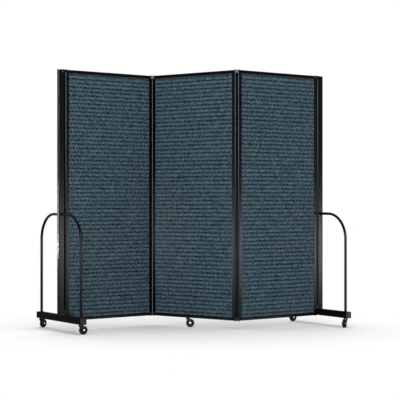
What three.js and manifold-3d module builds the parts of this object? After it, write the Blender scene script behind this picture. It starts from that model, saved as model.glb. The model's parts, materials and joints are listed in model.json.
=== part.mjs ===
// A three-panel privacy screen on castors, the kind that is rolled between hospital beds.
// Three fabric-faced panels stand in a zigzag row. Two-pin hinges join them to each other and
// to an end frame at each end: a post on a base bar that lies across the row, with an arched
// tube whose legs stand over the bar's two castors. A fifth castor carries the middle panel.
// Millimetres, +Z up, X along the row, Y to the back. The origin is on the floor, midway.

import * as THREE from 'three';
import { mergeVertices } from 'three/addons/utils/BufferGeometryUtils.js';
import Module from 'manifold-3d';

const wasm = await Module();
wasm.setup();

// Clearances
const seatGap = 0.3; // round a piece that rests on or plugs into another
const runningGap = 0.3; // round a pin or an axle that turns
const foldGap = 1; // between two panels that are folded flat
const linkClearance = 0.5; // between a hinge link on its side and the notch that it turns in
const overrun = 1; // how far a cutting solid passes the face that it cuts
const mergeDistance = 1e-4; // between two vertices that are taken as one

// Castors
const wheelDiameter = 50;
const wheelWidth = 14;
const tyreDepth = 7;
const tyreEdgeRadius = 3;
const webThickness = 8;
const axleDiameter = 8;
const axleHeadDiameter = 12;
const axleHeadHeight = 1.6;
const hubWall = 3.7;
const wheelSideGap = 1; // between the tyre and each fork arm
const forkArmThickness = 2;
const forkEyeRadius = 7;
const crownLength = 22;
const crownThickness = 3;
const crownGap = 1.5; // between the wheel's top and the crown
const collarDiameter = 18;
const collarHeight = 2.2;
const trail = 14; // from the stem's axis to the wheel's axle
const legStemLength = 32;
const socketWall = 1;
const socketTop = 1.2;

// Panels
const panelHeight = 1467;
const pivotSpan = 592; // between the pins at a panel's two edges
const frameDepth = 19;
const lipThickness = 3.2;
const grooveDepth = 4;
const stileWeb = 2;
const railHeight = 19.5;
const railWall = 2;
const railEdgeRadius = 1.5;
const boardRecess = 1.5; // from the frame's face in to the board's face

// Hinges
const linkHeight = 17;
const pinDiameter = 7;
const pinHeadDiameter = 10;
const pinHeadHeight = 4;

// End frames
const barLength = 524;
const barSize = 38;
const barWall = 2;
const barEdgeRadius = 3;
const capThickness = 3;
const plugDepth = 12;
const plugTaper = 1;
const tubeDiameter = 16;
const tubeWall = 1.8;
const archTop = 680; // height of the tube's centre line where it passes through the post
const archRadius = 152;
const legInset = 26; // from the bar tube's end to the leg's axis
const postWeb = 1.4; // left between the pin's bore and the tube's
const postWall = 2.5;
const endLinkLift = 5; // from the bar up to the lower link, for the pin's head

// How the screen stands: the directions of the panels and of the trailing wheels, in degrees
const outerHeading = 35.5;
const middleHeading = -34.5;
const middleCastorOffset = -42.6; // from the middle panel's centre, towards the left
const castorHeadings = { left_front: 32, left_rear: 55, middle: 4, right_front: -122, right_rear: -150 };

// Worked out from the sizes above
const undersideHeight = wheelDiameter + crownGap + crownThickness + collarHeight + seatGap;
const topHeight = undersideHeight + panelHeight;
const barTop = undersideHeight + barSize;
const edgeRadius = frameDepth / 2;
const pinSpacing = frameDepth + foldGap;
const notchReach = edgeRadius + linkClearance;
const stileReach = notchReach + stileWeb + grooveDepth; // from the pin's axis to the fabric
const grooveWidth = frameDepth - 2 * lipThickness;
const windowWidth = pivotSpan - 2 * stileReach;
const pinBore = pinDiameter / 2 + runningGap;
const tubeBore = tubeDiameter / 2 + seatGap;
const postReach = pinBore + postWeb + tubeBore; // from the pin's axis to the post's middle
const endLinkBase = barTop + endLinkLift;
const legOffset = barLength / 2 - legInset;
const stemDiameter = tubeDiameter - 2 * tubeWall - 2 * seatGap;
const forkSlot = wheelWidth + 2 * wheelSideGap;
const forkWidth = forkSlot + 2 * forkArmThickness;
const crownTop = wheelDiameter + crownGap + crownThickness;
const axleHeight = wheelDiameter / 2;
const railPocketTop = railHeight - grooveDepth - railWall;

// Facets round a full circle
const edgeFacets = 16;
const boreFacets = 12;
const tubeFacets = 16;
const tubeBoreFacets = 12;
const bendSteps = 8;
const wheelFacets = 24;
const pinFacets = 12;
const domeSteps = 2;
const cornerSteps = 2;

const materials = {
  framePaint: new THREE.MeshStandardMaterial({ color: 0x1d1e20, roughness: 0.42, metalness: 0.3 }),
  hingePaint: new THREE.MeshStandardMaterial({ color: 0x18191b, roughness: 0.5, metalness: 0.3 }),
  blackPlastic: new THREE.MeshStandardMaterial({ color: 0x161718, roughness: 0.6, metalness: 0 }),
  rubber: new THREE.MeshStandardMaterial({ color: 0x141414, roughness: 0.75, metalness: 0 }),
  brightSteel: new THREE.MeshStandardMaterial({ color: 0xc9ccce, roughness: 0.25, metalness: 1 }),
  fabric: new THREE.MeshStandardMaterial({ color: 0x364851, roughness: 0.95, metalness: 0 }),
};

// Turning a closed geometry into a solid that can be cut, and back
function solid(geometry) {
  const bare = geometry.index ? geometry.toNonIndexed() : geometry.clone();
  bare.deleteAttribute('normal');
  bare.deleteAttribute('uv');
  const merged = mergeVertices(bare, mergeDistance);
  const vertProperties = new Float32Array(merged.attributes.position.array);
  const triVerts = new Uint32Array(merged.index.array);
  return new wasm.Manifold(new wasm.Mesh({ numProp: 3, vertProperties, triVerts }));
}

function geometryOf(body) {
  const mesh = body.getMesh();
  const geometry = new THREE.BufferGeometry();
  geometry.setAttribute('position', new THREE.BufferAttribute(new Float32Array(mesh.vertProperties), 3));
  geometry.setIndex(new THREE.BufferAttribute(new Uint32Array(mesh.triVerts), 1));
  return geometry;
}

// Solids in the positions that the pieces are drawn in
function block([x0, x1], [y0, y1], [z0, z1]) {
  const geometry = new THREE.BoxGeometry(x1 - x0, y1 - y0, z1 - z0);
  return solid(geometry.translate((x0 + x1) / 2, (y0 + y1) / 2, (z0 + z1) / 2));
}

function upright(shape, [z0, z1], facets = edgeFacets) {
  const options = { depth: z1 - z0, bevelEnabled: false, curveSegments: facets / 2 };
  return solid(new THREE.ExtrudeGeometry(shape, options).translate(0, 0, z0));
}

function column(radius, [x, y], [z0, z1], facets = boreFacets) {
  const geometry = new THREE.CylinderGeometry(radius, radius, z1 - z0, facets).rotateX(Math.PI / 2);
  return solid(geometry.translate(x, y, (z0 + z1) / 2));
}

function crossBore(radius, [x, z], width, facets = boreFacets) {
  const geometry = new THREE.CylinderGeometry(radius, radius, width, facets);
  return solid(geometry.translate(x, 0, z));
}

// A shape drawn in (Y, Z) and drawn out along X, from the middle to each side
function alongX(shape, length) {
  const options = { depth: length, bevelEnabled: false, curveSegments: cornerSteps };
  const turn = new THREE.Matrix4().makeBasis(
    new THREE.Vector3(0, 1, 0), new THREE.Vector3(0, 0, 1), new THREE.Vector3(1, 0, 0));
  return new THREE.ExtrudeGeometry(shape, options).translate(0, 0, -length / 2).applyMatrix4(turn);
}

// A profile of (radius, height) points turned about Z
function turned(profile, facets) {
  const points = profile.map(([radius, height]) => new THREE.Vector2(radius, height));
  return new THREE.LatheGeometry(points, facets).rotateX(Math.PI / 2);
}

// Outlines
function roundedRectangle(halfWidth, [low, high], radius, path = new THREE.Shape()) {
  path.moveTo(-halfWidth + radius, low);
  path.lineTo(halfWidth - radius, low);
  path.absarc(halfWidth - radius, low + radius, radius, -Math.PI / 2, 0);
  path.lineTo(halfWidth, high - radius);
  path.absarc(halfWidth - radius, high - radius, radius, 0, Math.PI / 2);
  path.lineTo(-halfWidth + radius, high);
  path.absarc(-halfWidth + radius, high - radius, radius, Math.PI / 2, Math.PI);
  path.lineTo(-halfWidth, low + radius);
  path.absarc(-halfWidth + radius, low + radius, radius, Math.PI, 1.5 * Math.PI);
  return path;
}

function obround(halfSpacing, radius) {
  const shape = new THREE.Shape();
  shape.absarc(halfSpacing, 0, radius, -Math.PI / 2, Math.PI / 2);
  shape.absarc(-halfSpacing, 0, radius, Math.PI / 2, 1.5 * Math.PI);
  return shape;
}

// Panel pieces. A panel is drawn with X from its left pin to its right one and Y to its back.

// A stile has a half-round nose round its pin, and a groove on the other side for the boards.
// It is drawn with its pin on the Z axis and the panel on its +X side. The notches at its top
// and at its lower link let the links turn a quarter turn each way.
function stile(lowerLinkBase) {
  const outline = new THREE.Shape();
  outline.absarc(0, 0, edgeRadius, Math.PI / 2, 1.5 * Math.PI);
  outline.lineTo(stileReach, -edgeRadius);
  outline.lineTo(stileReach, edgeRadius);
  const grooveStart = undersideHeight + railHeight - grooveDepth;
  const grooveEnd = topHeight - railHeight + grooveDepth;
  const across = [-edgeRadius - overrun, edgeRadius + overrun];
  const notch = (base) => block(
    [-edgeRadius - overrun, notchReach], across, [base - seatGap, base + linkHeight + seatGap]);
  return upright(outline, [undersideHeight, topHeight])
    .subtract(column(pinBore, [0, 0], [undersideHeight - overrun, topHeight + overrun]))
    .subtract(block([stileReach - grooveDepth, stileReach + overrun],
      [-grooveWidth / 2, grooveWidth / 2], [grooveStart, grooveEnd]))
    .subtract(notch(topHeight - linkHeight))
    .subtract(notch(lowerLinkBase));
}

// A rail lies between the stiles, with its outer edge at z = 0 and its groove facing up.
// The pocket inside it runs through, and the stiles close its ends.
function rail() {
  const shape = new THREE.Shape();
  const half = edgeRadius;
  shape.moveTo(half, railHeight);
  shape.lineTo(grooveWidth / 2, railHeight);
  shape.lineTo(grooveWidth / 2, railHeight - grooveDepth);
  shape.lineTo(-grooveWidth / 2, railHeight - grooveDepth);
  shape.lineTo(-grooveWidth / 2, railHeight);
  shape.lineTo(-half, railHeight);
  shape.lineTo(-half, railEdgeRadius);
  shape.absarc(-half + railEdgeRadius, railEdgeRadius, railEdgeRadius, Math.PI, 1.5 * Math.PI);
  shape.lineTo(half - railEdgeRadius, 0);
  shape.absarc(half - railEdgeRadius, railEdgeRadius, railEdgeRadius, 1.5 * Math.PI, 2 * Math.PI);
  const pocket = new THREE.Path();
  pocket.moveTo(-half + railWall, railWall);
  pocket.lineTo(-half + railWall, railPocketTop);
  pocket.lineTo(half - railWall, railPocketTop);
  pocket.lineTo(half - railWall, railWall);
  shape.holes.push(pocket);
  return solid(alongX(shape, windowWidth - 2 * seatGap));
}

const socketRadius = stemDiameter / 2 + runningGap + socketWall;
const socketHeight = railPocketTop - seatGap;

// The middle panel's lower rail is bored for its castor's socket
function boredRail() {
  const bore = column(socketRadius + seatGap, [middleCastorOffset, 0],
    [-overrun, railPocketTop - seatGap / 2], edgeFacets);
  return rail().subtract(bore);
}

// The socket is a bush with a closed top, flush with the rail's underside
function castorSocket() {
  const bore = stemDiameter / 2 + runningGap;
  return column(socketRadius, [0, 0], [0, socketHeight], edgeFacets)
    .subtract(column(bore, [0, 0], [-overrun, socketHeight - socketTop], edgeFacets));
}

// A fabric-faced board: its face fills the window, and a thinner tongue all round sits in the
// grooves. Two of them stand back to back. It is drawn facing -Y, its tongue's back near y = 0.
function board() {
  const halfFace = windowWidth / 2 - seatGap;
  const tongue = grooveDepth - seatGap;
  const faceBase = undersideHeight + railHeight + seatGap;
  const faceTop = topHeight - railHeight - seatGap;
  const back = -seatGap / 2;
  const face = block([-halfFace, halfFace], [-edgeRadius + boardRecess, back], [faceBase, faceTop]);
  const halfTongue = windowWidth / 2 + tongue;
  const tongueSpan = [faceBase - seatGap - tongue, faceTop + seatGap + tongue];
  return face.add(block([-halfTongue, halfTongue], [-grooveWidth / 2 + seatGap, back], tongueSpan));
}

// Hinge pieces. A hinge is drawn with its two pins at equal distances from the Z axis along X.

function hingeLink() {
  const shape = obround(pinSpacing / 2, edgeRadius);
  return [-1, 1].reduce(
    (body, side) => body.subtract(
      column(pinBore, [side * pinSpacing / 2, 0], [-overrun, linkHeight + overrun])),
    upright(shape, [0, linkHeight]));
}

// A pin has a low domed head at each end, just clear of the links
function hingePin(lowerLinkBase) {
  const low = lowerLinkBase - seatGap;
  const high = topHeight + seatGap;
  return turned([
    ...dome(pinHeadDiameter / 2, low, -pinHeadHeight).reverse(),
    [pinDiameter / 2, low],
    [pinDiameter / 2, high],
    ...dome(pinHeadDiameter / 2, high, pinHeadHeight),
  ], pinFacets);
}

// Points of a quarter ellipse, from the rim of a head to its crown on the axis
function dome(radius, base, rise) {
  const points = [];
  for (let step = 0; step <= domeSteps; step += 1) {
    const angle = (step / domeSteps) * Math.PI / 2;
    points.push([step === domeSteps ? 0 : radius * Math.cos(angle), base + rise * Math.sin(angle)]);
  }
  return points;
}

// End frame pieces. A frame is drawn with its post on the Z axis, X pointing away from the
// screen, and the base bar along Y.

function post() {
  const pivot = -postReach;
  const pocket = new THREE.Shape();
  const inner = pivot + notchReach + postWall;
  const innerRadius = edgeRadius - postWall;
  pocket.moveTo(inner, -innerRadius);
  pocket.absarc(postReach, 0, innerRadius, -Math.PI / 2, Math.PI / 2);
  pocket.lineTo(inner, innerRadius);
  const foot = barTop + seatGap;
  const across = [-edgeRadius - overrun, edgeRadius + overrun];
  const inside = [pivot - edgeRadius - overrun, pivot + notchReach];
  return upright(obround(postReach, edgeRadius), [foot, topHeight])
    .subtract(upright(pocket, [foot - overrun, topHeight - postWall]))
    .subtract(column(pinBore, [pivot, 0], [foot - overrun, topHeight + overrun]))
    .subtract(block(inside, across, [topHeight - linkHeight - seatGap, topHeight + overrun]))
    .subtract(block(inside, across, [foot - overrun, endLinkBase + linkHeight + seatGap]))
    .subtract(crossBore(tubeBore, [0, archTop], frameDepth + 2 * overrun, tubeFacets));
}

// The bar is a square tube, bored above for the legs and below for the castors' stems
function baseBar() {
  const span = [undersideHeight, barTop];
  const inner = [undersideHeight + barWall, barTop - barWall];
  const section = roundedRectangle(barSize / 2, span, barEdgeRadius);
  section.holes.push(roundedRectangle(barSize / 2 - barWall, inner, barEdgeRadius / 2, new THREE.Path()));
  const tube = solid(alongX(section, barLength).rotateZ(Math.PI / 2));
  return [-legOffset, legOffset].reduce((body, y) => body
    .subtract(column(tubeBore, [0, y], [barTop - barWall - overrun, barTop + overrun], tubeFacets))
    .subtract(column(stemDiameter / 2 + runningGap, [0, y],
      [undersideHeight - overrun, undersideHeight + barWall + overrun], tubeFacets)), tube);
}

// A push-in cap: a flange as large as the bar, and a plug that narrows a little to its nose.
// It is drawn with the flange's inner face at x = 0 and the plug towards -X.
function endCap() {
  const middle = undersideHeight + barSize / 2;
  const flange = roundedRectangle(barSize / 2, [undersideHeight, barTop], barEdgeRadius);
  const half = barSize / 2 - barWall - seatGap;
  const nose = half - plugTaper;
  const corner = Math.SQRT2;
  const plugLength = plugDepth + seatGap + capThickness / 2;
  const plug = new THREE.CylinderGeometry(half * corner, nose * corner, plugLength, 4, 1)
    .rotateY(Math.PI / 4).rotateZ(-Math.PI / 2).translate(plugLength / 2 - plugDepth, 0, middle);
  const face = alongX(flange, capThickness).translate(seatGap + capThickness / 2, 0, 0);
  return solid(face).add(solid(plug));
}

// The arch's centre line: up one leg, round a bend, across through the post and down again.
// Each straight takes one step and each bend takes bendSteps.
class ArchLine extends THREE.Curve {
  constructor(foot) {
    super();
    const flat = legOffset - archRadius;
    const shoulder = archTop - archRadius;
    const bend = (side, share) => {
      const angle = (share * Math.PI) / 2;
      return new THREE.Vector3(0, side * (flat + archRadius * Math.cos(angle)),
        shoulder + archRadius * Math.sin(angle));
    };
    const shares = Array.from({ length: bendSteps + 1 }, (_, step) => step / bendSteps);
    this.stations = [
      new THREE.Vector3(0, -legOffset, foot),
      ...shares.map((share) => bend(-1, share)),
      ...shares.map((share) => bend(1, 1 - share)),
      new THREE.Vector3(0, legOffset, foot),
    ];
  }

  get steps() {
    return this.stations.length - 1;
  }

  getPoint(t, target = new THREE.Vector3()) {
    const along = t * this.steps;
    const index = Math.min(Math.floor(along), this.steps - 1);
    return target.lerpVectors(this.stations[index], this.stations[index + 1], along - index);
  }

  getPointAt(u, target) {
    return this.getPoint(u, target);
  }

  // Along the chord at an end, and midway between the chords on each side elsewhere
  getTangentAt(u, target = new THREE.Vector3()) {
    const index = Math.round(u * this.steps);
    const before = this.stations[Math.max(index, 1)].clone().sub(this.stations[Math.max(index, 1) - 1]);
    const next = Math.min(index, this.steps - 1);
    const after = this.stations[next + 1].clone().sub(this.stations[next]);
    return target.copy(before.normalize()).add(after.normalize()).normalize();
  }
}

function archTube() {
  const line = new ArchLine(undersideHeight + barWall + seatGap);
  const ring = (radius, facets, path) => {
    for (let facet = 0; facet < facets; facet += 1) {
      const angle = (facet / facets) * 2 * Math.PI;
      const point = [radius * Math.cos(angle), radius * Math.sin(angle)];
      if (facet === 0) path.moveTo(...point);
      else path.lineTo(...point);
    }
    return path;
  };
  const section = ring(tubeDiameter / 2, tubeFacets, new THREE.Shape());
  section.holes.push(ring(tubeDiameter / 2 - tubeWall, tubeBoreFacets, new THREE.Path()));
  const options = { extrudePath: line, steps: line.steps, bevelEnabled: false };
  return solid(new THREE.ExtrudeGeometry(section, options));
}

// Castor pieces. A castor is drawn with its stem on the Z axis and its wheel trailing to +X.

// Where a straight line from a point meets a circle, on the side that turn gives
function tangentAngle([px, pz], [cx, cz], radius, turn) {
  const distance = Math.hypot(px - cx, pz - cz);
  return Math.atan2(pz - cz, px - cx) + turn * Math.acos(radius / distance);
}

function castorFork(stemLength) {
  const half = crownLength / 2;
  const shoulder = crownTop - 2 * crownThickness;
  const eye = [trail, axleHeight];
  const arm = new THREE.Shape();
  arm.moveTo(half, crownTop);
  arm.lineTo(-half, crownTop);
  arm.lineTo(-half, shoulder);
  const start = tangentAngle([-half, shoulder], eye, forkEyeRadius, 1);
  const end = tangentAngle([half, shoulder], eye, forkEyeRadius, -1);
  arm.absarc(...eye, forkEyeRadius, start, end + 2 * Math.PI);
  arm.lineTo(half, shoulder);
  const options = { depth: forkWidth, bevelEnabled: false, curveSegments: boreFacets / 2 };
  const plate = new THREE.ExtrudeGeometry(arm, options).rotateX(Math.PI / 2);
  const reach = trail + wheelDiameter;
  const collarTop = crownTop + collarHeight;
  const collarSpan = [crownTop - crownThickness / 2, collarTop];
  const stemSpan = [collarTop - collarHeight / 2, collarTop + stemLength];
  return solid(plate.translate(0, forkWidth / 2, 0))
    .subtract(block([-reach, reach], [-forkSlot / 2, forkSlot / 2], [-overrun, crownTop - crownThickness]))
    .subtract(crossBore(axleDiameter / 2 + seatGap, eye, forkWidth + 2 * overrun))
    .add(column(collarDiameter / 2, [0, 0], collarSpan, edgeFacets))
    .add(column(stemDiameter / 2, [0, 0], stemSpan, edgeFacets));
}

// The wheel and the axle are turned about Z and laid along Y at the axle's place. Flats of the
// tread, not corners, are wheelDiameter apart, and one of them meets the floor.
function castorWheel() {
  const radius = wheelDiameter / 2 / Math.cos(Math.PI / wheelFacets);
  const rim = radius - tyreDepth;
  const bore = axleDiameter / 2 + runningGap;
  const hub = bore + hubWall;
  const halfTyre = wheelWidth / 2;
  const halfHub = forkSlot / 2 - runningGap;
  const halfWeb = webThickness / 2;
  const side = [[bore, halfHub], [hub, halfHub], [hub, halfWeb], [rim, halfWeb], [rim, halfTyre],
    [radius - tyreEdgeRadius, halfTyre], [radius, halfTyre - tyreEdgeRadius]];
  const mirrored = side.map(([r, z]) => [r, -z]);
  const profile = [...mirrored, ...side.reverse(), mirrored[0]];
  return layAlongAxle(turned(profile, wheelFacets).rotateZ(Math.PI / wheelFacets));
}

function castorAxle() {
  const face = forkWidth / 2 + seatGap;
  const head = axleHeadDiameter / 2;
  return layAlongAxle(turned([
    ...dome(head, -face, -axleHeadHeight).reverse(),
    [axleDiameter / 2, -face],
    [axleDiameter / 2, face],
    ...dome(head, face, axleHeadHeight),
  ], boreFacets));
}

function layAlongAxle(geometry) {
  return geometry.rotateX(Math.PI / 2).translate(trail, 0, axleHeight);
}

// Putting the pieces together
function piece(name, shape, material) {
  const geometry = shape.isBufferGeometry ? geometryOf(solid(shape)) : geometryOf(shape);
  const mesh = new THREE.Mesh(geometry, material);
  mesh.name = name;
  return mesh;
}

function placed(object, [x, y, z] = [0, 0, 0], turn = 0) {
  object.position.set(x, y, z);
  object.rotation.z = turn;
  return object;
}

const radians = THREE.MathUtils.degToRad;

function step([x, y], heading, distance) {
  return [x + distance * Math.cos(radians(heading)), y + distance * Math.sin(radians(heading))];
}

const screen = new THREE.Group();
const { framePaint, hingePaint, blackPlastic, rubber, brightSteel, fabric } = materials;

// The two link bases are the heights of the lower links at the panel's left and right edges
function addPanel(name, [x, y], heading, leftLinkBase, rightLinkBase, lowerRail) {
  const panel = placed(new THREE.Group(), [x, y, 0], radians(heading));
  const topRail = piece(`${name}_top_rail`, rail(), framePaint);
  topRail.rotation.x = Math.PI;
  topRail.position.z = topHeight;
  const leftStile = piece(`${name}_left_stile`, stile(leftLinkBase), framePaint);
  const rightStile = piece(`${name}_right_stile`, stile(rightLinkBase), framePaint);
  panel.add(
    topRail,
    placed(piece(`${name}_bottom_rail`, lowerRail, framePaint), [0, 0, undersideHeight]),
    placed(leftStile, [-pivotSpan / 2, 0, 0]),
    placed(rightStile, [pivotSpan / 2, 0, 0], Math.PI),
    piece(`${name}_front_board`, board(), fabric),
    placed(piece(`${name}_rear_board`, board(), fabric), [0, 0, 0], Math.PI),
  );
  screen.add(panel);
}

// A pin ends below the lower link, or on an end hinge's panel side below the panel's edge
function addHinge(name, [x, y], heading, lowerLinkBase, leftPinBase, rightPinBase) {
  const hinge = placed(new THREE.Group(), [x, y, 0], radians(heading));
  hinge.add(
    placed(piece(`${name}_top_link`, hingeLink(), hingePaint), [0, 0, topHeight - linkHeight]),
    placed(piece(`${name}_bottom_link`, hingeLink(), hingePaint), [0, 0, lowerLinkBase]),
    placed(piece(`${name}_left_pin`, hingePin(leftPinBase), hingePaint), [-pinSpacing / 2, 0, 0]),
    placed(piece(`${name}_right_pin`, hingePin(rightPinBase), hingePaint), [pinSpacing / 2, 0, 0]),
  );
  screen.add(hinge);
}

// front is 1 where the frame's own +Y points to the screen's front, and -1 where it points back
function addEndFrame(name, [x, y], heading, front) {
  const frame = placed(new THREE.Group(), [x, y, 0], radians(heading));
  const capPlace = (side) => [[0, side * barLength / 2, 0], side * Math.PI / 2];
  frame.add(
    piece(`${name}_post`, post(), framePaint),
    piece(`${name}_base_bar`, baseBar(), framePaint),
    piece(`${name}_arch_tube`, archTube(), framePaint),
    placed(piece(`${name}_front_cap`, endCap(), blackPlastic), ...capPlace(front)),
    placed(piece(`${name}_rear_cap`, endCap(), blackPlastic), ...capPlace(-front)),
  );
  screen.add(frame);
}

function addCastor(name, [x, y], stemLength) {
  const castor = placed(new THREE.Group(), [x, y, 0], radians(castorHeadings[name]));
  castor.add(
    piece(`${name}_castor_fork`, castorFork(stemLength), blackPlastic),
    piece(`${name}_castor_axle`, castorAxle(), brightSteel),
    piece(`${name}_castor_wheel`, castorWheel(), rubber),
  );
  screen.add(castor);
}

// The row is the same when it is turned half round, apart from the middle castor, so the
// places on the right are those on the left with both signs changed.
const middlePivot = step([0, 0], middleHeading, -pivotSpan / 2);
const hingeCentre = step(middlePivot, 0, -pinSpacing / 2);
const outerPivot = step(middlePivot, 0, -pinSpacing);
const panelCentre = step(outerPivot, outerHeading, -pivotSpan / 2);
const endPivot = step(outerPivot, outerHeading, -pivotSpan);
const endHingeCentre = step(endPivot, outerHeading, -pinSpacing / 2);
const postCentre = step(endPivot, outerHeading, -pinSpacing - postReach);
const frontLeg = step(postCentre, outerHeading - 90, legOffset);
const rearLeg = step(postCentre, outerHeading + 90, legOffset);
const opposite = ([x, y]) => [-x, -y];

addPanel('left_panel', panelCentre, outerHeading, endLinkBase, undersideHeight, rail());
addPanel('middle_panel', [0, 0], middleHeading, undersideHeight, undersideHeight, boredRail());
addPanel('right_panel', opposite(panelCentre), outerHeading, undersideHeight, endLinkBase, rail());

addHinge('left_hinge', hingeCentre, 0, undersideHeight, undersideHeight, undersideHeight);
addHinge('right_hinge', opposite(hingeCentre), 0, undersideHeight, undersideHeight, undersideHeight);
addHinge('left_end_hinge', endHingeCentre, outerHeading, endLinkBase, endLinkBase, undersideHeight);
addHinge('right_end_hinge', opposite(endHingeCentre), outerHeading,
  endLinkBase, undersideHeight, endLinkBase);

addEndFrame('left_end', postCentre, outerHeading + 180, 1);
addEndFrame('right_end', opposite(postCentre), outerHeading, -1);

const middleStem = step([0, 0], middleHeading, middleCastorOffset);
const middleStemLength = socketHeight - socketTop; // the gaps at its two ends are alike
const socket = piece('middle_castor_socket', castorSocket(), brightSteel);
screen.add(placed(socket, [...middleStem, undersideHeight]));

addCastor('left_front', frontLeg, legStemLength);
addCastor('left_rear', rearLeg, legStemLength);
addCastor('middle', middleStem, middleStemLength);
addCastor('right_front', opposite(rearLeg), legStemLength);
addCastor('right_rear', opposite(frontLeg), legStemLength);

export default screen;
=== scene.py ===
"""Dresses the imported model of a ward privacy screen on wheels, and sets up the studio for it.

Metres, Z up, X along the row of panels and Y to the back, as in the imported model.
"""

import json
import math

import bmesh
import bpy
from bpy.props import FloatProperty, FloatVectorProperty, PointerProperty
from mathutils import Matrix, Vector


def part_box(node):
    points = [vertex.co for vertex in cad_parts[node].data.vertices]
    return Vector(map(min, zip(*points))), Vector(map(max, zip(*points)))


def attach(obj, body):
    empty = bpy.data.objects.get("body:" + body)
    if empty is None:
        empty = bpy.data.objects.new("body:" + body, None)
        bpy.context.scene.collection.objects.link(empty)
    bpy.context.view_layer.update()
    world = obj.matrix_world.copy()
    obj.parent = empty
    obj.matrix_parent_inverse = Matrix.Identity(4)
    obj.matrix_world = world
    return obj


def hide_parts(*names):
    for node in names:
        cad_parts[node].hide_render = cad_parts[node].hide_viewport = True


bl_info = {
    "name": "Ward privacy screen on wheels",
    "version": (1, 0, 0),
    "blender": (4, 5, 0),
    "location": "View3D > Sidebar > Ward screen",
    "description": "Dresses the packed model of a ward privacy screen and sets up its studio",
    "category": "Object",
}

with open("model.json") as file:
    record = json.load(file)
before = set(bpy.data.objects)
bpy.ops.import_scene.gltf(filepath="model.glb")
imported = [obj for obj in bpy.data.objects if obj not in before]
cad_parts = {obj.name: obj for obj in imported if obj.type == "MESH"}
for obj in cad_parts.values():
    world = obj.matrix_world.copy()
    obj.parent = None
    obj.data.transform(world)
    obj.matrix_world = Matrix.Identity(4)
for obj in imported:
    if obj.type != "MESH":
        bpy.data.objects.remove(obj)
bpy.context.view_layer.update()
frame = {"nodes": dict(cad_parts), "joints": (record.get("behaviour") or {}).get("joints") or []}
nodes = frame["nodes"]
joints = {joint["name"]: joint for joint in frame["joints"]}

# The joints at the left and right pin of each panel
PANELS = {
    "left_panel": ("left_end_hinge_inner", "left_hinge_outer"),
    "middle_panel": ("left_hinge_inner", "right_hinge_inner"),
    "right_panel": ("right_hinge_outer", "right_end_hinge_inner"),
}
HINGES = ("left_hinge", "right_hinge", "left_end_hinge", "right_end_hinge")
# The castors in front and behind, and the pin that joins each end frame to its hinge
END_FRAMES = {
    "left_end": ("left_front", "left_rear", "left_end_hinge_outer"),
    "right_end": ("right_front", "right_rear", "right_end_hinge_outer"),
}
CASTORS = ("left_front", "left_rear", "middle", "right_front", "right_rear")


# What a user would change


def length(name, default, description):
    return FloatProperty(
        name=name, default=default, min=0, precision=5, unit="LENGTH", description=description)


def colour(name, default, description):
    return FloatVectorProperty(
        name=name, default=default, size=3, min=0, max=1, subtype="COLOR", description=description)


class WardScreenSizes(bpy.types.PropertyGroup):
    """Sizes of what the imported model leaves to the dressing"""

    cloth: length("Cloth thickness", 0.0008, "Thickness of the woven cloth on the boards")
    yarn: length("Yarn pitch", 0.0022, "From one yarn of the weave to the next")
    dash: length("Dash pitch", 0.0180, "From one dark dash of the weave to the next along a row")
    row: length("Row pitch", 0.0238, "From one row of dashes to the next")
    broken_edge: length("Broken edge", 0.0004, "Width of the rounding on the painted edges")
    weld: length("Weld radius", 0.0024, "Radius of the weld beads on the base bars")
    tube: length("Tube diameter", 0.016, "Outside diameter of the bent tubes")
    tube_wall: length("Tube wall", 0.0018, "Wall thickness of the bent tubes")
    bend: length("Bend radius", 0.152, "Radius of the tube's centre line in its bends")
    left_seal: length("Left seal", 0.00035, "Thickness of the seal in the left hinge")
    right_seal: length("Right seal", 0.0008, "Thickness of the seal in the right hinge")
    seal_depth: length("Seal depth", 0.007, "Depth of the seals, from front to back")


class WardScreenFinishes(bpy.types.PropertyGroup):
    """Colours of the finishes"""

    frame_paint: colour("Frame paint", (0.0019, 0.0020, 0.0024), "Powder coat of the frames")
    bar_paint: colour("Base bar paint", (0.0035, 0.0035, 0.0037), "Matt coating of the base bars")
    hinge_paint: colour("Hinge paint", (0.0030, 0.0031, 0.0034), "Coating of the hinge links and pins")
    moulding: colour("Moulded plastic", (0.0036, 0.0037, 0.0040), "Castor forks, hubs, collars, caps")
    tyre: colour("Tyre", (0.0042, 0.0042, 0.0041), "Rubber of the tyres")
    steel: colour("Steel", (0.50, 0.51, 0.52), "Steel of the axles and the socket")
    seal: colour("Seal", (0.004, 0.004, 0.004), "Flexible seals in the hinges between the panels")
    board: colour("Board", (0.30, 0.20, 0.12), "Fibreboard under the cloth")
    ground: colour("Cloth ground", (0.0400, 0.0880, 0.1212), "The slate blue most of the cloth has")
    dark_yarn: colour("Dark yarn", (0.0035, 0.0110, 0.0175), "The dashes")
    light_yarn: colour("Light yarn", (0.235, 0.340, 0.402), "The light nubs")
    # Painted shade: the dark colour laid into the gaps between the yarns, where shade falls
    gap_shade: colour("Painted gap shade", (0.0030, 0.0070, 0.0095), "Between the yarns")


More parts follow.
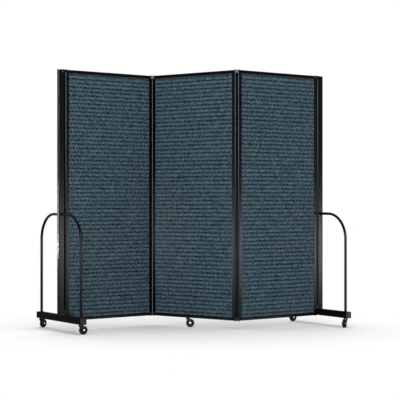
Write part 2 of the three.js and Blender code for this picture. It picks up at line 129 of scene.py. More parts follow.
class WardScreenStudio(bpy.types.PropertyGroup):
    """Light, floor and camera of the studio"""

    sky: FloatProperty(name="Sky", default=0.50, min=0, description="Light from all round")
    overhead: FloatProperty(
        name="Overhead lamp", default=145, min=0, unit="POWER", description="The large soft lamp above")
    front: FloatProperty(
        name="Front lamp", default=120, min=0, unit="POWER", description="The soft lamp at the camera")
    high_glint: FloatProperty(
        name="High glint", default=360, min=0, unit="POWER",
        description="The strip that shows only as a glint, in front and high")
    low_glint: FloatProperty(
        name="Low glint", default=95, min=0, unit="POWER",
        description="The strip that shows only as a glint, in front and low")
    post_glint: FloatProperty(
        name="Post glint", default=4.0, min=0, unit="POWER",
        description="The small lamp that shows only as a glint on the left post's rounded edge")
    left_glint: FloatProperty(
        name="Left glint", default=74, min=0, unit="POWER",
        description="The small lamp that shows only as a glint, low on the left")
    right_glint: FloatProperty(
        name="Right glint", default=150, min=0, unit="POWER",
        description="The low strip that shows only as a glint, on the right")
    floor: colour("Floor", (0.965, 0.965, 0.97), "The pale floor near the screen")
    eye_height: length("Camera height", 0.761, "Height of the camera above the floor")
    eye_distance: length("Camera distance", 7.189, "From the camera to the row's centre line")


# Nodes: arithmetic on values, and one way to add any node


class Value:
    """A socket whose arithmetic adds Math nodes to the board that it is on"""

    def __init__(self, board, socket):
        self.board = board
        self.socket = socket

    def maths(self, operation, *terms):
        return self.board.node(
            "ShaderNodeMath", {"operation": operation}, dict(enumerate(terms)))

    def __add__(self, other):
        return self.maths("ADD", self, other)

    __radd__ = __add__

    def __sub__(self, other):
        return self.maths("SUBTRACT", self, other)

    def __rsub__(self, other):
        return self.maths("SUBTRACT", other, self)

    def __mul__(self, other):
        return self.maths("MULTIPLY", self, other)

    __rmul__ = __mul__

    def __truediv__(self, other):
        return self.maths("DIVIDE", self, other)

    def __mod__(self, other):
        return self.maths("FLOORED_MODULO", self, other)

    def __gt__(self, other):
        return self.maths("GREATER_THAN", self, other)

    def __lt__(self, other):
        return self.maths("LESS_THAN", self, other)

    def __abs__(self):
        return self.maths("ABSOLUTE", self)

    def __floor__(self):
        return self.maths("FLOOR", self)


class Board:
    """The node tree of a material or of the world, and what is built on it"""

    def __init__(self, tree):
        tree.nodes.clear()
        self.tree = tree

    def node(self, kind, settings=None, sockets=None, output=0):
        """Add a node, set it, fill or link its sockets and return one of its outputs"""
        added = self.tree.nodes.new(kind)
        for name, setting in (settings or {}).items():
            setattr(added, name, setting)
        for name, term in (sockets or {}).items():
            if isinstance(term, Value):
                self.tree.links.new(term.socket, added.inputs[name])
            else:
                added.inputs[name].default_value = term
        return Value(self, added.outputs[output]) if added.outputs else None

    def blend(self, share, first, second):
        """A colour that goes from the first to the second as share goes from 0 to 1"""
        settings = {"data_type": "RGBA"}
        return self.node(
            "ShaderNodeMix", settings, {0: share, 6: tone(first), 7: tone(second)}, output=2)

    def parts(self, vector):
        """The three parts of a vector, as values"""
        return [self.node("ShaderNodeSeparateXYZ", None, {0: vector}, output=part)
                for part in range(3)]

    def place(self):
        return self.node("ShaderNodeTexCoord", output="Object")

    def ramp(self, value, low, high):
        """0 below low, 1 above high and a straight line between, whichever is larger"""
        ends = {"Value": value, "From Min": low, "From Max": high}
        return self.node("ShaderNodeMapRange", None, ends)

    def cloud(self, size, detail, stretch=(1, 1, 1)):
        """Soft noise from 0 to 1 whose lumps are about size across"""
        where = self.place()
        if stretch != (1, 1, 1):
            where = self.node(
                "ShaderNodeVectorMath", {"operation": "MULTIPLY"}, {0: where, 1: stretch})
        scales = {"Vector": where, "Scale": 1 / size, "Detail": detail, "Roughness": 0.55}
        return self.node("ShaderNodeTexNoise", None, scales)

    def chance(self, *terms):
        """A number from 0 to 1 that differs from cell to cell"""
        cell = self.node("ShaderNodeCombineXYZ", None, dict(enumerate(terms)))
        return self.node("ShaderNodeTexWhiteNoise", None, {"Vector": cell})

    def relief(self, height, depth, strength):
        """Bumps of that depth where height goes from 0 to 1"""
        sockets = {"Height": height, "Distance": depth, "Strength": strength}
        return self.node("ShaderNodeBump", None, sockets)


def tone(value):
    return value if isinstance(value, Value) else (*value, 1)


def finish(name, looks):
    """A material whose Principled shader has the sockets that looks gives it"""
    made = bpy.data.materials.new(name)
    made.use_nodes = True
    board = Board(made.node_tree)
    surface = board.node("ShaderNodeBsdfPrincipled", None, looks(board))
    board.node("ShaderNodeOutputMaterial", None, {"Surface": surface})
    return made


def once(name, looks):
    """The material of that name, made the first time that it is asked for"""
    return bpy.data.materials.get(name) or finish(name, looks)


def scaled(shade, factor):
    return tuple(min(part * factor, 1) for part in shade)


# The finishes


def powder_coat(shade, gloss, shine, peel):
    """Satin powder coat: a fine orange peel, faint mottling, and dust on what faces up"""
    def looks(board):
        mottle = board.cloud(0.035, 3)
        rubbed = board.cloud(0.008, 2)
        facing = board.parts(board.node("ShaderNodeNewGeometry", output="Normal"))[2]
        dust = board.ramp(facing, 0.75, 1.0) * board.ramp(board.cloud(0.02, 4), 0.35, 0.75)
        painted = board.blend(mottle, scaled(shade, 0.8), scaled(shade, 1.25))
        return {
            "Base Color": board.blend(dust * 0.35, painted, (0.030, 0.030, 0.029)),
            "Roughness": gloss + 0.08 * mottle + 0.05 * rubbed + 0.12 * dust,
            "Specular IOR Level": shine,
            "Specular Tint": (0.86, 0.90, 1.0, 1),
            "Normal": board.relief(board.cloud(peel, 1), peel * 0.12, 0.16),
        }
    return looks


def frame_paint():
    shade = bpy.context.scene.ward_screen_finishes.frame_paint
    return once("black powder coat", powder_coat(shade, 0.16, 0.05, 0.0014))


def bar_paint():
    shade = bpy.context.scene.ward_screen_finishes.bar_paint
    return once("matt black powder coat", powder_coat(shade, 0.42, 0.01, 0.0012))


def hinge_paint():
    shade = bpy.context.scene.ward_screen_finishes.hinge_paint
    return once("black hinge coating", powder_coat(shade, 0.26, 0.055, 0.0009))


def moulded(shade, gloss):
    """Moulded nylon: a fine spark-eroded grain and slight scuffs"""
    def looks(board):
        grain = board.cloud(0.0006, 2)
        scuffs = board.ramp(board.cloud(0.006, 5), 0.58, 0.72)
        return {
            "Base Color": board.blend(scuffs * 0.5, shade, scaled(shade, 2.2)),
            "Roughness": gloss + 0.1 * grain + 0.12 * scuffs,
            "Specular IOR Level": 0.09,
            "Normal": board.relief(grain, 0.00008, 0.6),
        }
    return looks


def moulded_plastic():
    shade = bpy.context.scene.ward_screen_finishes.moulding
    return once("black moulded nylon", moulded(shade, 0.36))


def rubber(shade):
    """Rubber of the tyres and seals: matt and grained, with dust in patches"""
    def looks(board):
        grain = board.cloud(0.0009, 3)
        dust = board.ramp(board.cloud(0.005, 5), 0.42, 0.7)
        return {
            "Base Color": board.blend(dust * 0.25, shade, (0.034, 0.032, 0.030)),
            "Roughness": 0.62 + 0.2 * dust,
            "Specular IOR Level": 0.06,
            "Normal": board.relief(grain, 0.00012, 0.5),
        }
    return looks


def turned_steel(shade):
    """Turned steel: fine rings round the axis, with slight tarnish"""
    def looks(board):
        across, along, _ = board.parts(board.place())
        out = board.node("ShaderNodeMath", {"operation": "SQRT"},
                         {0: across * across + along * along})
        rings = board.chance(math.floor(out / 0.00016))
        tarnish = board.ramp(board.cloud(0.003, 4), 0.45, 0.75)
        return {
            "Base Color": board.blend(tarnish * 0.4, shade, scaled(shade, 0.62)),
            "Metallic": 1.0,
            "Roughness": 0.2 + 0.1 * rings + 0.12 * tarnish,
            "Normal": board.relief(rings, 0.00001, 0.5),
        }
    return looks


def bright_steel():
    shade = bpy.context.scene.ward_screen_finishes.steel
    return once("turned bright steel", turned_steel(shade))


def fibreboard(shade):
    """Fibreboard: brown and mottled, with fine fibres that lie mostly upright"""
    def looks(board):
        fibres = board.cloud(0.0012, 4, stretch=(1, 1, 0.3))
        patches = board.cloud(0.04, 3)
        mottled = board.blend(patches, scaled(shade, 0.85), scaled(shade, 1.1))
        return {
            "Base Color": board.blend(fibres, scaled(shade, 0.7), mottled),
            "Roughness": 0.8 + 0.1 * fibres,
            "Normal": board.relief(fibres, 0.0002, 0.5),
        }
    return looks


def woven(sizes, finishes):
    """Plain weave with rows of dark dashes in it, on whole yarns, and light nubs between

    Warp yarns run up the panel and weft yarns across it. They are counted from far outside
    the cloth, so that no count is negative.
    """
    far_outside = 4096

    def looks(board):
        across, _, up = board.parts(board.place())
        piece = board.node("ShaderNodeObjectInfo", output="Random") * 97
        warp = across / sizes.yarn + far_outside + 1.5 * board.cloud(0.011, 1)
        weft = up / sizes.yarn + far_outside + 1.1 * board.cloud(0.014, 1)
        warp_count, weft_count = math.floor(warp), math.floor(weft)
        in_warp, in_weft = warp % 1, weft % 1
        dashes = warp_count / (sizes.dash / sizes.yarn)

        # The yarns: each has a shade of its own, and the weave is higher where one lies over.
        # A number added to piece keeps one draw apart from another.
        warp_tint = board.chance(warp_count, piece)
        weft_tint = board.chance(piece, weft_count)
        float_tint = board.chance(warp_count, weft_count, piece)
        over = (warp_count + weft_count) % 2
        round_warp = 4 * in_warp * (1 - in_warp)
        round_weft = 4 * in_weft * (1 - in_weft)
        warp_height = (1 - over) * round_warp * (0.45 + 0.55 * round_weft)
        weft_height = over * round_weft * (0.45 + 0.55 * round_warp)
        height = warp_height + weft_height
        # Painted shade: 1 at the low places between and under the yarns, 0 at their crowns
        gap_shade = 1 - height

        # Rows of dark dashes on a dark line: every other row is moved along by half a dash, the
        # dashes differ in length, height and depth of colour, and their ends are ragged
        rows = weft_count / (sizes.row / sizes.yarn)
        row = math.floor(rows)
        along = dashes + 0.5 * (row % 2) + 0.06 * board.chance(row, piece) + 0.15 * weft_tint
        dash = math.floor(along)
        stray = board.chance(dash, row, piece)
        strength = board.chance(row, dash, piece + 5)
        off_dash, off_row = abs(along % 1 - 0.5), abs(rows % 1 - 0.5)
        line_half = 0.17
        in_line = off_row < line_half
        inside = (off_dash < 0.24 + 0.10 * stray) * (off_row < line_half + 0.06 * strength)

        # Nubs: small clusters of yarns that are lighter or darker than those round them
        cluster = math.floor(weft_count / 2)
        shift = board.chance(cluster, piece + 9) + 0.5 * (weft_count % 2)
        nub = 0.22 * float_tint + 0.78 * board.chance(
            math.floor(warp_count / 2 + shift), cluster, piece + 3)
        dark = (0.42 * in_line + inside * (0.66 + 0.20 * strength + 0.12 * over)
                + 0.50 * board.ramp(1 - nub, 0.52, 0.95))
        fleck = ((1 - inside) * board.ramp(nub, 0.42, 0.92)
                 * (1 - 0.35 * over) * (0.85 + 0.25 * (off_row > 0.30)))

        # Each yarn's own tone, plus a painted highlight: the height term makes the yarn crowns lighter
        shade = 0.15 * height + 0.2 * warp_tint + 0.25 * weft_tint + 0.4 * float_tint
        dyed = 0.7 * board.ramp(board.cloud(0.028, 2), 0.38, 0.62) + 0.3 * board.chance(nub, piece)
        red, green, blue = finishes.ground
        greener = board.blend(
            shade, (red * 0.52, green * 0.64, blue * 0.52), (red * 1.25, green * 1.55, blue * 1.22))
        bluer = board.blend(
            shade, (red * 0.66, green * 0.54, blue * 0.66), (red * 1.55, green * 1.35, blue * 1.65))
        dashed = board.blend(dark, board.blend(dyed, greener, bluer), finishes.dark_yarn)
        lit = board.blend(fleck, dashed, finishes.light_yarn)
        return {
            # The gaps between the yarns are painted darker, as painted shade
            "Base Color": board.blend(0.7 * gap_shade, lit, finishes.gap_shade),
            "Roughness": 0.82 + 0.12 * float_tint,
            "Specular IOR Level": 0.04,
            "Sheen Weight": 0.10,
            "Sheen Roughness": 0.45,
            "Sheen Tint": (0.75, 0.85, 0.9, 1),
            "Normal": board.relief(height, 0.00035, 0.55),
        }
    return looks


def cloth_finish():
    scene = bpy.context.scene
    return once("slate blue woven cloth", woven(scene.ward_screen_sizes, scene.ward_screen_finishes))


# Meshes


def new_piece(name, points, faces, material, sharp=35):
    """An object made of points and faces, smooth but for edges sharper than that angle"""
    mesh = bpy.data.meshes.new(name)
    mesh.from_pydata([tuple(point) for point in points], [], faces)
    if mesh.validate():
        raise RuntimeError(f"the faces of {name} don't join up")
    work = bmesh.new()
    work.from_mesh(mesh)
    bmesh.ops.recalc_face_normals(work, faces=work.faces)
    work.to_mesh(mesh)
    work.free()
    mesh.materials.append(material)
    mesh.shade_smooth()
    mesh.set_sharp_from_angle(angle=math.radians(sharp))
    made = bpy.data.objects.new(name, mesh)
    bpy.context.scene.collection.objects.link(made)
    return made


def fit(piece, place, body, slot, *replaced):
    """Put a piece in its place on a body, in the stead of the nodes that it replaces"""
    piece.matrix_world = place
    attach(piece, body)
    if replaced:
        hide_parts(*replaced)


def joined(rings, closed=False):
    """Faces between rings that have the same number of points, one after another"""
    count = len(rings[0])
    following = rings[1:] + rings[:1] if closed else rings[1:]
    return [(a[i], a[(i + 1) % count], b[(i + 1) % count], b[i])
            for a, b in zip(rings, following) for i in range(count)]


def turned_mesh(profile, steps, closed=False):
    """Points and faces of a profile of (radius, height) turned about Z

    A point on the axis is one point. A closed profile joins its end to its start.
    """
    points, rings = [], []
    for radius, height in profile:
        first = len(points)
        if radius < 1e-9:
            points.append((0, 0, height))
            rings.append([first] * steps)
            continue
        for step in range(steps):
            angle = 2 * math.pi * step / steps
            points.append((radius * math.cos(angle), radius * math.sin(angle), height))
        rings.append(list(range(first, first + steps)))
    faces = [tuple(dict.fromkeys(face)) for face in joined(rings, closed)]
    return points, [face for face in faces if len(face) > 2]


def mirrored(profile):
    """The profile's mirror image below the middle, in the opposite order"""
    return [(radius, -height) for radius, height in reversed(profile)]


def quarter(centre, radius, start, steps):
    """Points of a quarter circle in a profile, from an angle in degrees, anticlockwise"""
    return [(centre[0] + radius * math.cos(math.radians(start + 90 * step / steps)),
             centre[1] + radius * math.sin(math.radians(start + 90 * step / steps)))
            for step in range(steps + 1)]


def domed_head(radius, base, rise, steps=6):
    """Profile of a low dome with a small rim, from its edge to its crown"""
    rim = 0.25 * rise
    points = [(radius, base), (radius, base + rim)]
    for step in range(1, steps + 1):
        angle = math.pi / 2 * step / steps
        points.append((radius * math.cos(angle) if step < steps else 0,
                       base + rim + (rise - rim) * math.sin(angle)))
    return points


def middle_of(node):
    low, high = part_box(node)
    return (low + high) / 2, low, high


def joint_place(name):
    return Vector(joints[name]["pos_m"])


def upright_place(origin, along):
    """A frame on the floor under origin, with X along a level direction and Z up"""
    turn = math.atan2(along.y, along.x)
    return Matrix.Translation((origin.x, origin.y, 0)) @ Matrix.Rotation(turn, 4, "Z")


# The painted frame pieces, the links, the caps, the socket and the forks keep their own shape


def dress_node(name, material, edge):
    """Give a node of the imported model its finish, smooth shading and broken edges"""
    node = nodes[name]
    for slot in node.material_slots:
        slot.material = material
    node.data.polygons.foreach_set("use_smooth", [True] * len(node.data.polygons))
    weld = node.modifiers.new("Join the facets", "WELD")
    weld.merge_threshold = 1e-5
    clear = node.modifiers.new("Clear flat faces", "DECIMATE")
    clear.decimate_type = "DISSOLVE"
    clear.angle_limit = math.radians(1)
    broken = node.modifiers.new("Broken edges", "BEVEL")
    broken.width = edge
    broken.segments = 2
    broken.limit_method = "ANGLE"
    broken.angle_limit = math.radians(50)
    even = node.modifiers.new("Even shading", "WEIGHTED_NORMAL")
    even.keep_sharp = True


class WARD_SCREEN_OT_frames(bpy.types.Operator):
    """Paint the rails, stiles, posts and base bars, and break their edges"""

    bl_idname = "ward_screen.frames"
    bl_label = "Painted frames"

    def execute(self, context):
        edge = context.scene.ward_screen_sizes.broken_edge
        for panel in PANELS:
            for part in ("top_rail", "bottom_rail", "left_stile", "right_stile"):
                dress_node(f"{panel}_{part}", frame_paint(), edge)
        for end in END_FRAMES:
            dress_node(f"{end}_post", frame_paint(), edge)
            dress_node(f"{end}_base_bar", bar_paint(), edge)
        return {"FINISHED"}


class WARD_SCREEN_OT_caps(bpy.types.Operator):
    """Finish the end caps of the base bars and the middle castor's socket"""

    bl_idname = "ward_screen.caps"
    bl_label = "End caps and socket"

    def execute(self, context):
        edge = context.scene.ward_screen_sizes.broken_edge
        for end in END_FRAMES:
            dress_node(f"{end}_front_cap", moulded_plastic(), 2 * edge)
            dress_node(f"{end}_rear_cap", moulded_plastic(), 2 * edge)
        dress_node("middle_castor_socket", bright_steel(), edge / 2)
        return {"FINISHED"}


class WARD_SCREEN_OT_links(bpy.types.Operator):
    """Finish the hinge links"""

    bl_idname = "ward_screen.links"
    bl_label = "Hinge links"

    def execute(self, context):
        edge = context.scene.ward_screen_sizes.broken_edge
        for hinge in HINGES:
            dress_node(f"{hinge}_top_link", hinge_paint(), edge)
            dress_node(f"{hinge}_bottom_link", hinge_paint(), edge)
        return {"FINISHED"}


class WARD_SCREEN_OT_pins(bpy.types.Operator):
    """Turn the hinge pins, with a low domed head at each end"""

    bl_idname = "ward_screen.pins"
    bl_label = "Hinge pins"

    def execute(self, context):
        for hinge in HINGES:
            for side in ("left", "right"):
                self.turn_pin(hinge, side)
        return {"FINISHED"}

    def turn_pin(self, hinge, side, shaft=0.0035, head=0.005, rise=0.004):
        node = f"{hinge}_{side}_pin"
        middle, low, high = middle_of(node)
        top, bottom = high.z - middle.z, low.z - middle.z
        crown = domed_head(head, top - rise, rise)
        foot = mirrored(domed_head(head, -bottom - rise, rise))
        profile = [*foot, (shaft, bottom + rise), (shaft, top - rise), *crown]
        pin = new_piece(f"{hinge}_{side}_rod", *turned_mesh(profile, 40), hinge_paint())
        fit(pin, Matrix.Translation(middle), hinge, "hinge_paint", node)


class WARD_SCREEN_OT_collars(bpy.types.Operator):
    """Fit the collars that carry the end hinges' lower links, above the base bars"""

    bl_idname = "ward_screen.collars"
    bl_label = "Hinge collars"

    def execute(self, context):
        above_bar, under_link = 0.0006, 0.0001
        for end, (_, _, pin) in END_FRAMES.items():
            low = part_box(f"{end}_base_bar")[1].z + above_bar
            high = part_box(f"{end}_hinge_bottom_link")[0].z - under_link
            collar = new_piece(f"{end}_hinge_collar", *self.collar_mesh(high - low), moulded_plastic())
            at = joint_place(pin)
            fit(collar, Matrix.Translation((at.x, at.y, low)), f"{end}_hinge", "castor_plastic")
        return {"FINISHED"}

    def collar_mesh(self, height, bore=0.0053, radius=0.0092, chamfer=0.0004):
        """A short bush with broken edges"""
        profile = [(bore, chamfer), (bore + chamfer, 0), (radius - chamfer, 0), (radius, chamfer),
                   (radius, height - chamfer), (radius - chamfer, height),
                   (bore + chamfer, height), (bore, height - chamfer)]
        return turned_mesh(profile, 64, closed=True)


class WARD_SCREEN_OT_seals(bpy.types.Operator):
    """Fit the flexible seals that close the sight gap in the hinges between the panels"""

    bl_idname = "ward_screen.seals"
    bl_label = "Hinge seals"

    def execute(self, context):
        sizes = context.scene.ward_screen_sizes
        clear = 0.001
        strip = once("black flexible seal", rubber(context.scene.ward_screen_finishes.seal))
        for hinge, thick in (("left_hinge", sizes.left_seal), ("right_hinge", sizes.right_seal)):
            middle, _, high = middle_of(f"{hinge}_bottom_link")
            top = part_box(f"{hinge}_top_link")[0].z
            points, faces = self.strip_mesh(thick, sizes.seal_depth, high.z + clear, top - clear)
            seal = new_piece(f"{hinge}_seal", points, faces, strip)
            fit(seal, Matrix.Translation((middle.x, middle.y, 0)), hinge, "castor_tyre")
        return {"FINISHED"}

    def strip_mesh(self, thick, depth, low, high):
        """A thin strip with rounded front and rear edges, level with the pins"""
        across, deep = thick / 2, depth / 2
        edge = [(across * math.sin(math.radians(angle)), across * math.cos(math.radians(angle)))
                for angle in range(-90, 91, 30)]
        outline = [(x, deep - across + y) for x, y in edge]
        outline += [(-x, across - deep - y) for x, y in edge]
        points = [(x, y, z) for z in (low, high) for x, y in outline]
        count = len(outline)
        rings = [list(range(count)), list(range(count, 2 * count))]
        return points, joined(rings) + [tuple(rings[0]), tuple(rings[1])]


class WARD_SCREEN_OT_tubes(bpy.types.Operator):
    """Bend the arched tubes of the end frames"""

    bl_idname = "ward_screen.tubes"
    bl_label = "Arched tubes"

    def execute(self, context):
        for end, (front, rear, _) in END_FRAMES.items():
            self.bend_tube(context.scene.ward_screen_sizes, end, front, rear)
        return {"FINISHED"}

    def bend_tube(self, sizes, end, front, rear):
        node = f"{end}_arch_tube"
        low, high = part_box(node)
        outer = sizes.tube / 2
        front_leg, rear_leg = joint_place(f"{front}_swivel"), joint_place(f"{rear}_swivel")
        span = (rear_leg - front_leg).to_2d().length
        line = self.centre_line(span, low.z, high.z - outer, sizes.bend)
        points, outside = self.ring_walls(line, outer, 0)
        inner_points, inside = self.ring_walls(line, outer - sizes.tube_wall, len(points))
        faces = joined(outside + inside[::-1], closed=True)
        tube = new_piece(f"{end}_bent_tube", points + inner_points, faces, frame_paint())
        place = upright_place((front_leg + rear_leg) / 2, rear_leg - front_leg)
        fit(tube, place, f"{end}_frame", "frame_paint", node)

    def centre_line(self, span, foot, top, bend, steps=28):
        """Stations (along, up, tilt) from the front foot over the arch to the rear one"""
        half = span / 2
        line = [(-half, foot, 90), (-half, top - bend, 90)]
        for step in range(1, steps + 1):
            tilt = 90 - 90 * step / steps
            angle = math.radians(tilt + 90)
            line.append((-half + bend + bend * math.cos(angle),
                         top - bend + bend * math.sin(angle), tilt))
        return line + [(-along, up, -tilt) for along, up, tilt in reversed(line)]

    def ring_walls(self, line, radius, first, count=48):
        """Points round each station, and their numbers, which start at first"""
        points, rings = [], []
        for along, up, tilt in line:
            lean = math.radians(tilt + 90)
            rise = Vector((math.cos(lean), 0, math.sin(lean)))
            rings.append(list(range(first + len(points), first + len(points) + count)))
            for step in range(count):
                angle = 2 * math.pi * step / count
                points.append(Vector((along, 0, up)) + radius * (
                    math.cos(angle) * rise + math.sin(angle) * Vector((0, 1, 0))))
        return points, rings


class WARD_SCREEN_OT_welds(bpy.types.Operator):
    """Lay the weld beads where the arches' legs and the posts meet the base bars"""

    bl_idname = "ward_screen.welds"
    bl_label = "Weld beads"

    def execute(self, context):
        sizes = context.scene.ward_screen_sizes
        for end, (front, rear, pin) in END_FRAMES.items():
            legs = [joint_place(f"{castor}_swivel") for castor in (front, rear)]
            bar_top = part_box(f"{end}_base_bar")[1].z
            for where, leg in zip(("front", "rear"), legs):
                self.ring_bead(f"{end}_{where}_leg_weld", leg, bar_top, sizes, f"{end}_frame")
            middle = (legs[0] + legs[1]) / 2
            outward = middle - joint_place(pin)
            for where, side in (("front", 1), ("rear", -1)):
                bead = self.straight_bead(f"{end}_{where}_post_weld", side, sizes.weld)
                place = upright_place(middle, outward) @ Matrix.Translation((0, 0, bar_top))
                fit(bead, place, f"{end}_frame", "frame_paint")
        return {"FINISHED"}

    def ring_bead(self, name, leg, bar_top, sizes, body, steps=144, ripples=30):
        """A bead round a tube, sunk a little into the tube and the bar, with ripples round it"""
        sunk, extra, flatness = 0.0002, 0.0006, 0.92
        inner, width = sizes.tube / 2 - sunk, sizes.weld + extra
        points, rings = [], []
        for step in range(steps):
            angle = 2 * math.pi * step / steps
            swell = 1 + 0.07 * math.sin(ripples * angle) + 0.05 * math.sin(3 * angle + 1)
            ring = [(inner, -sunk), (inner + width * swell, -sunk)]
            for turn in (20, 45, 70):
                lean = math.radians(turn)
                ring.append((inner + flatness * width * swell * math.cos(lean),
                             flatness * width * swell * math.sin(lean)))
            ring.append((inner, width * swell))
            rings.append(list(range(len(points), len(points) + len(ring))))
            points += [(radius * math.cos(angle), radius * math.sin(angle), up)
                       for radius, up in ring]
        bead = new_piece(name, points, joined(rings, closed=True), frame_paint(), sharp=60)
        fit(bead, Matrix.Translation((leg.x, leg.y, bar_top)), body, "frame_paint")

    def straight_bead(self, name, side, radius, steps=60, ripples=11, count=16):
        """A bead along the post's flat side, from its notch to the bar's far edge"""
        start, end, flat = -0.002, 0.0155, 0.0095
        off_flat, off_bar = 0.0004, 0.0003
        points, rings = [], []
        for step in range(steps + 1):
            share = step / steps
            swell = math.sqrt(max(1 - (2 * share - 1) ** 8, 0.02))
            swell *= 1 + 0.07 * math.sin(2 * math.pi * ripples * share)
            rings.append(list(range(len(points), len(points) + count)))
            for turn in range(count):
                angle = 2 * math.pi * turn / count
                points.append((start + (end - start) * share,
                               side * (flat + off_flat + radius * swell * math.cos(angle)),
                               off_bar + radius * swell * math.sin(angle)))
        faces = joined(rings) + [tuple(rings[0]), tuple(rings[-1])]
        return new_piece(name, points, faces, frame_paint(), sharp=60)


class WARD_SCREEN_OT_boards(bpy.types.Operator):
    """Make the boards and stretch the woven cloth over them"""

    bl_idname = "ward_screen.boards"
    bl_label = "Cloth-faced boards"

    # Half the width, the lower and upper ends, and how far in front of the panel's middle:
    # the face shows between the frame's members, and the tongue lies in their grooves
    face_half = 0.2797
    face_span = (0.0768, 1.5042)
    face_depth = 0.00805
    tongue_half = 0.2837
    tongue_span = (0.0728, 1.5082)
    tongue_depth = 0.0060
    back_depth = 0.00015

    def execute(self, context):
        sizes = context.scene.ward_screen_sizes
        finishes = context.scene.ward_screen_finishes
        board = once("brown fibreboard", fibreboard(finishes.board))
        for panel, pins in PANELS.items():
            left, right = (joint_place(pin) for pin in pins)
            front = upright_place((left + right) / 2, right - left)
            self.make_board(panel, "front", front, sizes, board)
            back = front @ Matrix.Rotation(math.pi, 4, "Z")
            self.make_board(panel, "rear", back, sizes, board)
        return {"FINISHED"}

    def outline(self, half, span, inset, depth, radius, steps=4):
        """A rounded rectangle that faces the front, at some depth in front of the middle"""
        low, high = span[0] + inset, span[1] - inset
        side, corner = half - inset, max(radius - inset, 0.0002)
        centres = [(side - corner, low + corner, 270), (side - corner, high - corner, 0),
                   (-side + corner, high - corner, 90), (-side + corner, low + corner, 180)]
        return [(x, -depth, z) for across, up, start in centres
                for x, z in quarter((across, up), corner, start, steps)]

    def stacked(self, outlines, closed_back):
        """Points and faces through a row of outlines, with its first one filled"""
        points = [point for ring in outlines for point in ring]
        count = len(outlines[0])
        rings = [list(range(count * index, count * (index + 1))) for index in range(len(outlines))]
        faces = joined(rings) + [tuple(rings[0])]
        if closed_back:
            faces.append(tuple(rings[-1]))
        return points, faces

    def make_board(self, panel, side, place, sizes, material):
        """The core: a face with a rounded edge, just under the cloth, and a tongue behind it"""
        half, span, depth = self.face_half, self.face_span, self.face_depth
        under = sizes.cloth + 0.00005
        corner, tongue_corner = 0.002, 0.0012
        core = [self.outline(half, span, under + inset, depth - under - back, corner)
                for inset, back in ((0.0008, 0), (0.0002, 0.0003), (0, 0.0008))]
        core.append(self.outline(half, span, under, self.tongue_depth, corner))
        for level in (self.tongue_depth, self.back_depth):
            core.append(self.outline(self.tongue_half, self.tongue_span, 0, level, tongue_corner))
        points, faces = self.stacked(core, closed_back=True)
        core_piece = new_piece(f"{panel}_{side}_core", points, faces, material)
        fit(core_piece, place, panel, "fabric", f"{panel}_{side}_board")
        self.stretch_cloth(panel, side, place, sizes, core_piece)

    def stretch_cloth(self, panel, side, place, sizes, core_piece, steps=6):
        """The cloth lies on the board's face and turns down round its edges"""
        half, span, depth = self.face_half, self.face_span, self.face_depth
        middle = sizes.cloth / 2
        inner_inset, inner_corner = 0.012, 0.004
        # The radius of the turn at the edge, and how far in front of the middle the cloth ends
        turn, hem, corner = 0.0012, 0.0063, 0.0026
        rings = [self.outline(half, span, inner_inset, depth - middle, inner_corner)]
        for step in range(steps + 1):
            angle = math.pi / 2 * step / steps
            inset = middle + turn * (1 - math.sin(angle))
            level = depth - middle - turn * (1 - math.cos(angle))
            rings.append(self.outline(half, span, inset, level, corner))
        rings.append(self.outline(half, span, middle, hem, corner))
        points, faces = self.stacked(rings, closed_back=False)
        cloth = new_piece(f"{panel}_{side}_cloth", points, faces, cloth_finish(), sharp=80)
        thick = cloth.modifiers.new("Cloth thickness", "SOLIDIFY")
        thick.thickness = sizes.cloth
        thick.offset = 0
        fit(cloth, place, panel, "fabric", f"{panel}_{side}_board")


class WARD_SCREEN_OT_forks(bpy.types.Operator):
    """Finish the castor forks"""

    bl_idname = "ward_screen.forks"
    bl_label = "Castor forks"

    def execute(self, context):
        edge = context.scene.ward_screen_sizes.broken_edge
        for castor in CASTORS:
            dress_node(f"{castor}_castor_fork", moulded_plastic(), 1.5 * edge)
        return {"FINISHED"}


